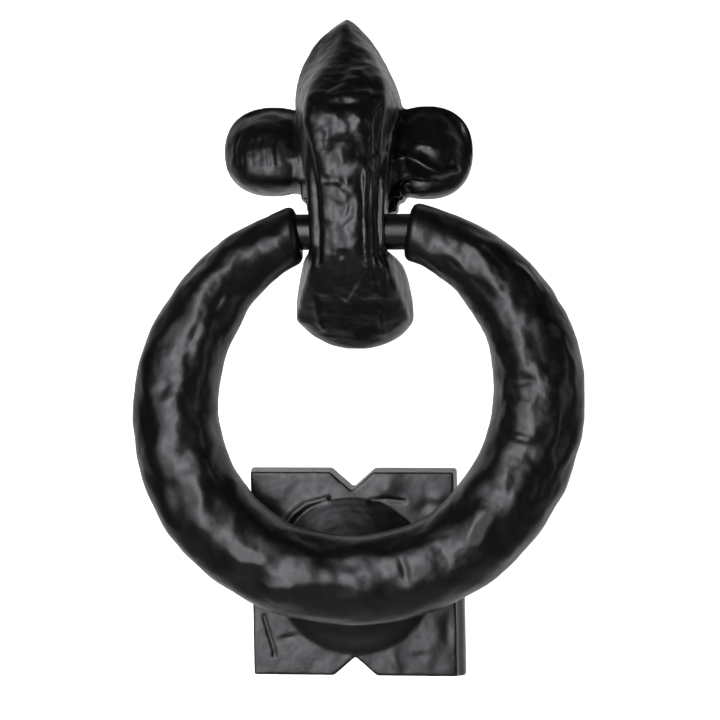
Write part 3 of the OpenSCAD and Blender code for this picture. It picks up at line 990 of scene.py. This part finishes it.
def add_thread(bm, radius, pitch, start, end, chamfer):
    """A screw thread between two distances along +Y, with a chamfered end."""
    deep = 0.61 * pitch
    turns = int((end - start) / pitch) + 3
    verts = []
    for k in range(turns * 2 + 1):
        r = radius if k % 2 else radius - deep
        verts.append(bm.verts.new((r, start + (k / 2 - 2) * pitch, 0)))
    edges = [bm.edges.new(pair) for pair in zip(verts, verts[1:])]
    steps = 36
    bmesh.ops.spin(
        bm, geom=verts + edges, cent=(0, 0, 0), axis=(0, 1, 0),
        dvec=(0, pitch / steps, 0), angle=2 * math.pi, steps=steps,
    )
    bmesh.ops.remove_doubles(bm, verts=bm.verts, dist=0.003 * MM)
    for at, side in ((start, -1), (end, 1)):
        geom = bm.verts[:] + bm.edges[:] + bm.faces[:]
        bmesh.ops.bisect_plane(
            bm, geom=geom, dist=0.001 * MM, plane_co=(0, at, 0), plane_no=(0, side, 0),
            clear_outer=True,
        )
    bmesh.ops.holes_fill(bm, edges=[e for e in bm.edges if e.is_boundary], sides=0)
    for vert in bm.verts:
        limit = radius - max(vert.co.y - (end - chamfer), 0)
        r = math.hypot(vert.co.x, vert.co.z)
        if r > limit:
            vert.co.x *= limit / r
            vert.co.z *= limit / r


class KNOCKER_OT_studs(bpy.types.Operator):
    """Builds the two studs that pass through the door"""
    bl_idname = "knocker.studs"
    bl_label = "Studs"

    def execute(self, context):
        settings = context.scene.knocker_fixings
        radius = settings.thread / 2
        for which, height in stud_axes.items():
            lo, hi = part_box(which + "_stud")
            shank, thread_from = SHANK_R * MM, THREAD_FROM * MM
            bm = bmesh.new()
            add_thread(bm, radius - 0.02 * MM, settings.pitch, thread_from, hi.y, 1.0 * MM)
            inner = lo.y + 0.6 * MM
            profile = [
                (0, lo.y), (radius - 0.8 * MM, lo.y), (radius - 0.1 * MM, inner),
                (radius - 0.1 * MM, -0.5 * MM), (shank, 0), (shank, thread_from + 0.2 * MM),
                (shank - 0.4 * MM, thread_from + 0.8 * MM), (0, thread_from + 0.8 * MM),
            ]
            add_turned(bm, profile, 48)
            bmesh.ops.translate(bm, verts=bm.verts, vec=(0, 0, height))
            stud = to_object(bm, which + "_stud_threaded")
            dress(context, stud, which + "_stud", "zinc_steel", 35)
        return {"FINISHED"}


class KNOCKER_OT_washers(bpy.types.Operator):
    """Builds the two washers, with the rounded edge that stamping leaves"""
    bl_idname = "knocker.washers"
    bl_label = "Washers"

    def execute(self, context):
        for which, height in stud_axes.items():
            lo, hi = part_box(which + "_washer")
            out, hole = (hi.x - lo.x) / 2, WASHER_HOLE_R * MM
            soft, burr = 0.5 * MM, 0.15 * MM
            corner = [
                (out - soft * (1 - math.sin(a)), hi.y - soft * (1 - math.cos(a)))
                for a in (math.radians(15 * k) for k in range(7))
            ]
            profile = [(hole, lo.y), (out - burr, lo.y), (out, lo.y + burr)]
            profile += corner[::-1] + [(hole + soft, hi.y), (hole, hi.y - soft)]
            washer = turned(which + "_washer_plated", profile, 96, at=(0, 0, height))
            dress(context, washer, which + "_washer", "zinc_steel", 35)
        return {"FINISHED"}


class KNOCKER_OT_nuts(bpy.types.Operator):
    """Builds the two hexagon nuts, chamfered on both faces"""
    bl_idname = "knocker.nuts"
    bl_label = "Nuts"

    def execute(self, context):
        settings = context.scene.knocker_fixings
        flat = settings.nut_af / 2
        bore = settings.thread / 2 - 0.1 * MM
        rim, lead = flat * 0.985, 0.7 * MM
        for which, height in stud_axes.items():
            lo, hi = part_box(which + "_nut")

            def shape(u, v):
                a = 2 * math.pi * u
                sixth = math.radians(60)
                to_corner = (a + sixth / 2) % sixth - sixth / 2
                hexagon = min(flat / math.cos(to_corner), flat / math.cos(sixth / 2) - 0.15 * MM)
                lost = max(hexagon - rim, 0) * math.tan(NUT_CHAMFER) + 0.05 * MM
                loops = [
                    (bore, lo.y + lead), (bore + lead, lo.y), (rim, lo.y), (hexagon, lo.y + lost),
                    (hexagon, hi.y - lost), (rim, hi.y), (bore + lead, hi.y), (bore, hi.y - lead),
                    (bore, lo.y + lead),
                ]
                r, y = loops[int(round(v * (len(loops) - 1)))]
                return Vector((r * math.sin(a), y, height + r * math.cos(a)))

            bm = bmesh.new()
            add_surface(bm, 96, 8, shape)
            nut = to_object(bm, which + "_nut_plated")
            dress(context, nut, which + "_nut", "zinc_steel", 25)
        return {"FINISHED"}


class KNOCKER_OT_keeper(bpy.types.Operator):
    """Builds the keeper strap behind the pin, and its two slotted screws"""
    bl_idname = "knocker.keeper"
    bl_label = "Keeper"

    def execute(self, context):
        bm = bmesh.new()
        add_box(bm, strap_lo, strap_hi)
        bmesh.ops.bevel(
            bm, geom=bm.edges[:], affect="EDGES", offset=0.6 * MM, segments=4,
            profile=0.5, material=-1,
        )
        strap = to_object(bm, "keeper_strap_plated")
        dress(context, strap, "keeper_strap", "zinc_steel", 35)
        for which in ("upper", "lower"):
            node = "keeper_screw_" + which
            lo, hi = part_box(node)
            middle = (lo + hi) / 2
            shank, head = context.scene.knocker_fixings.screw / 2, (hi.x - lo.x) / 2
            under = strap_hi.y
            rise = hi.y - under
            dome = [
                (head * math.cos(a), hi.y - rise * 0.55 * (1 - math.sin(a)))
                for a in (math.radians(15 * k) for k in range(1, 6))
            ]
            profile = [
                (0, lo.y), (shank - 0.6 * MM, lo.y), (shank, lo.y + 0.6 * MM),
                (shank, under), (head, under), (head, hi.y - rise * 0.55),
                *dome, (0, hi.y),
            ]
            screw = turned(node + "_slotted", profile, 64)
            slot_lo = (-head * 2, hi.y - rise * 0.5, -0.5 * MM)
            combine(screw, block("slot", slot_lo, (head * 2, hi.y + MM, 0.5 * MM)), "DIFFERENCE")
            screw.data.transform(Matrix.Translation((middle.x, 0, middle.z)))
            dress(context, screw, node, "zinc_steel", 30)
        return {"FINISHED"}


# ---- Stage ----

WALL_Y = 0.11                       # metres from the door's face back to the paper
PAPER_GLOW_MIDDLE = (0, WALL_Y, -0.05)     # the middle of the glow painted into the paper's emission, straight behind the knocker
FLOOR_DROP = 0.26                   # metres from the lowest point down to the floor


def add_light(name, at, aim, size, power, spread=95, tint="ffffff"):
    """A flat soft light that the camera doesn't see."""
    data = bpy.data.lights.new(name, "AREA")
    data.shape = "RECTANGLE"
    data.size, data.size_y = size
    data.energy = power
    data.color = linear(tint)
    data.spread = math.radians(spread)
    lamp = bpy.data.objects.new(name, data)
    lamp.location = at
    lamp.rotation_euler = (Vector(aim) - Vector(at)).to_track_quat("-Z", "Y").to_euler()
    lamp.visible_camera = False
    bpy.context.scene.collection.objects.link(lamp)


def pale_paper(name, finish):
    """Seamless white paper with a painted glow, as in a light tent, and see-through from its back.
    """
    material, tree, shader, place = new_material(name)
    fibre = pattern(tree, place, 3 * MM, 4.0)
    tree.links.new(
        blend_colours(tree, spread_values(tree, fibre, 0, 0.06), finish.paper, (0.7, 0.7, 0.7)),
        shader.inputs["Base Color"],
    )
    shader.inputs["Roughness"].default_value = 0.9
    # The emission is a painted glow that fades with distance from its middle behind the knocker; no
    # lamp stands there
    lamp = add_node(tree, "ShaderNodeVectorMath", {"Vector": place}, operation="SUBTRACT")
    lamp.inputs[1].default_value = PAPER_GLOW_MIDDLE
    apart = add_node(tree, "ShaderNodeVectorMath", {"Vector": lamp.outputs[0]}, operation="LENGTH")
    glow = add_node(
        tree, "ShaderNodeMapRange", {"Value": apart.outputs["Value"]},
        interpolation_type="SMOOTHSTEP", From_Min=0.17, From_Max=0.42, To_Min=0.36, To_Max=0.01,
    ).outputs[0]
    shader.inputs["Emission Color"].default_value = (1, 1, 1, 1)
    # Camera rays see the paper's painted glow at full white, while it lights the knocker less
    camera_ray = add_node(tree, "ShaderNodeLightPath").outputs["Is Camera Ray"]
    strength = add_node(tree, "ShaderNodeMath", {0: glow, 1: camera_ray}, operation="MAXIMUM")
    tree.links.new(strength.outputs[0], shader.inputs["Emission Strength"])
    behind = add_node(tree, "ShaderNodeNewGeometry").outputs["Backfacing"]
    clear = add_node(tree, "ShaderNodeBsdfTransparent").outputs[0]
    either = add_node(tree, "ShaderNodeMixShader", {0: behind, 1: shader.outputs[0], 2: clear})
    tree.links.new(either.outputs[0], tree.nodes["Material Output"].inputs["Surface"])
    return material


def set_world(scene):
    """Pale to the camera, and a dim room in front of a white one to everything else."""
    world = bpy.data.worlds.new("studio")
    world.use_nodes = True
    scene.world = world
    tree = world.node_tree
    seen = tree.nodes["Background"]
    seen.inputs["Color"].default_value = (0.94, 0.94, 0.94, 1)
    direction = add_node(tree, "ShaderNodeTexCoord").outputs["Generated"]
    out = add_node(tree, "ShaderNodeSeparateXYZ", {"Vector": direction}).outputs["Y"]
    glow = add_node(
        tree, "ShaderNodeMapRange", {"Value": out}, interpolation_type="SMOOTHSTEP",
        From_Min=0.2, From_Max=0.7, To_Min=0.01, To_Max=0.9,
    ).outputs[0]
    lit = add_node(tree, "ShaderNodeBackground", {"Strength": glow})
    lit.inputs["Color"].default_value = (1, 1, 1, 1)
    camera_ray = add_node(tree, "ShaderNodeLightPath").outputs["Is Camera Ray"]
    ends = {0: camera_ray, 1: lit.outputs[0], 2: seen.outputs[0]}
    either = add_node(tree, "ShaderNodeMixShader", ends)
    tree.links.new(either.outputs[0], tree.nodes["World Output"].inputs["Surface"])


class KNOCKER_OT_stage(bpy.types.Operator):
    """Sets up the floor and backdrop, the lights and the camera"""
    bl_idname = "knocker.stage"
    bl_label = "Stage"

    def execute(self, context):
        scene = context.scene
        settings = scene.knocker_stage
        wide, tall, front = 2.4, 1.4, -1.6
        wall_y, floor_z, bend = WALL_Y, cad_box[0][2] - FLOOR_DROP, 0.09

        def sweep(u, v):
            """The floor comes forward from a wall behind the knocker, with a round bend."""
            runs = [wall_y - bend - front, bend * math.pi / 2, tall]
            at = v * sum(runs)
            x = wide * (u - 0.5) * 2
            if at < runs[0]:
                return Vector((x, front + at, floor_z))
            if at < runs[0] + runs[1]:
                a = (at - runs[0]) / bend
                return Vector((
                    x, wall_y - bend + bend * math.sin(a), floor_z + bend * (1 - math.cos(a)),
                ))
            return Vector((x, wall_y, floor_z + bend + at - runs[0] - runs[1]))

        bm = bmesh.new()
        add_surface(bm, 2, 240, sweep, closed=False)
        for face in bm.faces:
            face.normal_update()
        if sum(face.normal.z + -face.normal.y for face in bm.faces) < 0:
            bmesh.ops.reverse_faces(bm, faces=bm.faces)
        mesh = bpy.data.meshes.new("paper_sweep")
        bm.to_mesh(mesh)
        bm.free()
        paper = bpy.data.objects.new("paper_sweep", mesh)
        scene.collection.objects.link(paper)
        mesh.materials.append(material_of(context, pale_paper))
        mesh.shade_smooth()

        middle = (Vector(cad_box[0]) + Vector(cad_box[1])) / 2
        aim = Vector((middle.x + 1.1 * MM, pivot.y, middle.z - 3.7 * MM))
        add_light("softbox", (-0.10, -0.53, 0.0), aim, (0.18, 0.58), settings.key, tint="fdf9ff")
        side = settings.key * 0.35
        add_light("side_softbox", (-0.30, -0.46, 0.0), aim, (0.24, 0.56), side, tint="fdf9ff")
        add_light("strip", (0.75, -0.35, -0.05), aim, (0.12, 0.7), settings.fill)
        set_world(scene)

        data = bpy.data.cameras.new("camera")
        data.lens, data.sensor_width = settings.lens, 36
        camera = bpy.data.objects.new("camera", data)
        scene.collection.objects.link(camera)
        back = Vector((math.sin(settings.turn), -math.cos(settings.turn), 0))
        camera.location = aim + back * settings.distance
        camera.rotation_euler = (-back).to_track_quat("-Z", "Y").to_euler()
        scene.camera = camera
        scene.view_settings.view_transform = "Standard"
        return {"FINISHED"}


# ---- Add-on ----

SETTINGS = {
    "knocker_ring": RingSettings, "knocker_bracket": BracketSettings,
    "knocker_plate": PlateSettings, "knocker_fixings": FixingSettings,
    "knocker_finish": FinishSettings, "knocker_stage": StageSettings,
}
OPERATORS = (
    KNOCKER_OT_stage, KNOCKER_OT_bracket, KNOCKER_OT_ring, KNOCKER_OT_pin, KNOCKER_OT_plate,
    KNOCKER_OT_studs, KNOCKER_OT_washers, KNOCKER_OT_nuts, KNOCKER_OT_keeper,
)


class KNOCKER_PT_panel(bpy.types.Panel):
    """Lists the sizes and colours, and a button for each piece"""
    bl_idname = "KNOCKER_PT_panel"
    bl_label = "Door knocker"
    bl_space_type = "VIEW_3D"
    bl_region_type = "UI"
    bl_category = "Knocker"

    def draw(self, context):
        for name, group in SETTINGS.items():
            box = self.layout.box()
            for key in group.__annotations__:
                box.prop(getattr(context.scene, name), key)
        for operator in OPERATORS:
            self.layout.operator(operator.bl_idname)


def register():
    for group in SETTINGS.values():
        bpy.utils.register_class(group)
    for name, group in SETTINGS.items():
        setattr(bpy.types.Scene, name, PointerProperty(type=group))
    for cls in (*OPERATORS, KNOCKER_PT_panel):
        bpy.utils.register_class(cls)


def unregister():
    for cls in (KNOCKER_PT_panel, *reversed(OPERATORS)):
        bpy.utils.unregister_class(cls)
    for name, group in SETTINGS.items():
        delattr(bpy.types.Scene, name)
        bpy.utils.unregister_class(group)


def main():
    """Builds the stage and every piece."""
    register()
    for operator in OPERATORS:
        group, name = operator.bl_idname.split(".")
        getattr(getattr(bpy.ops, group), name)()


if __name__ == "__main__":
    main()
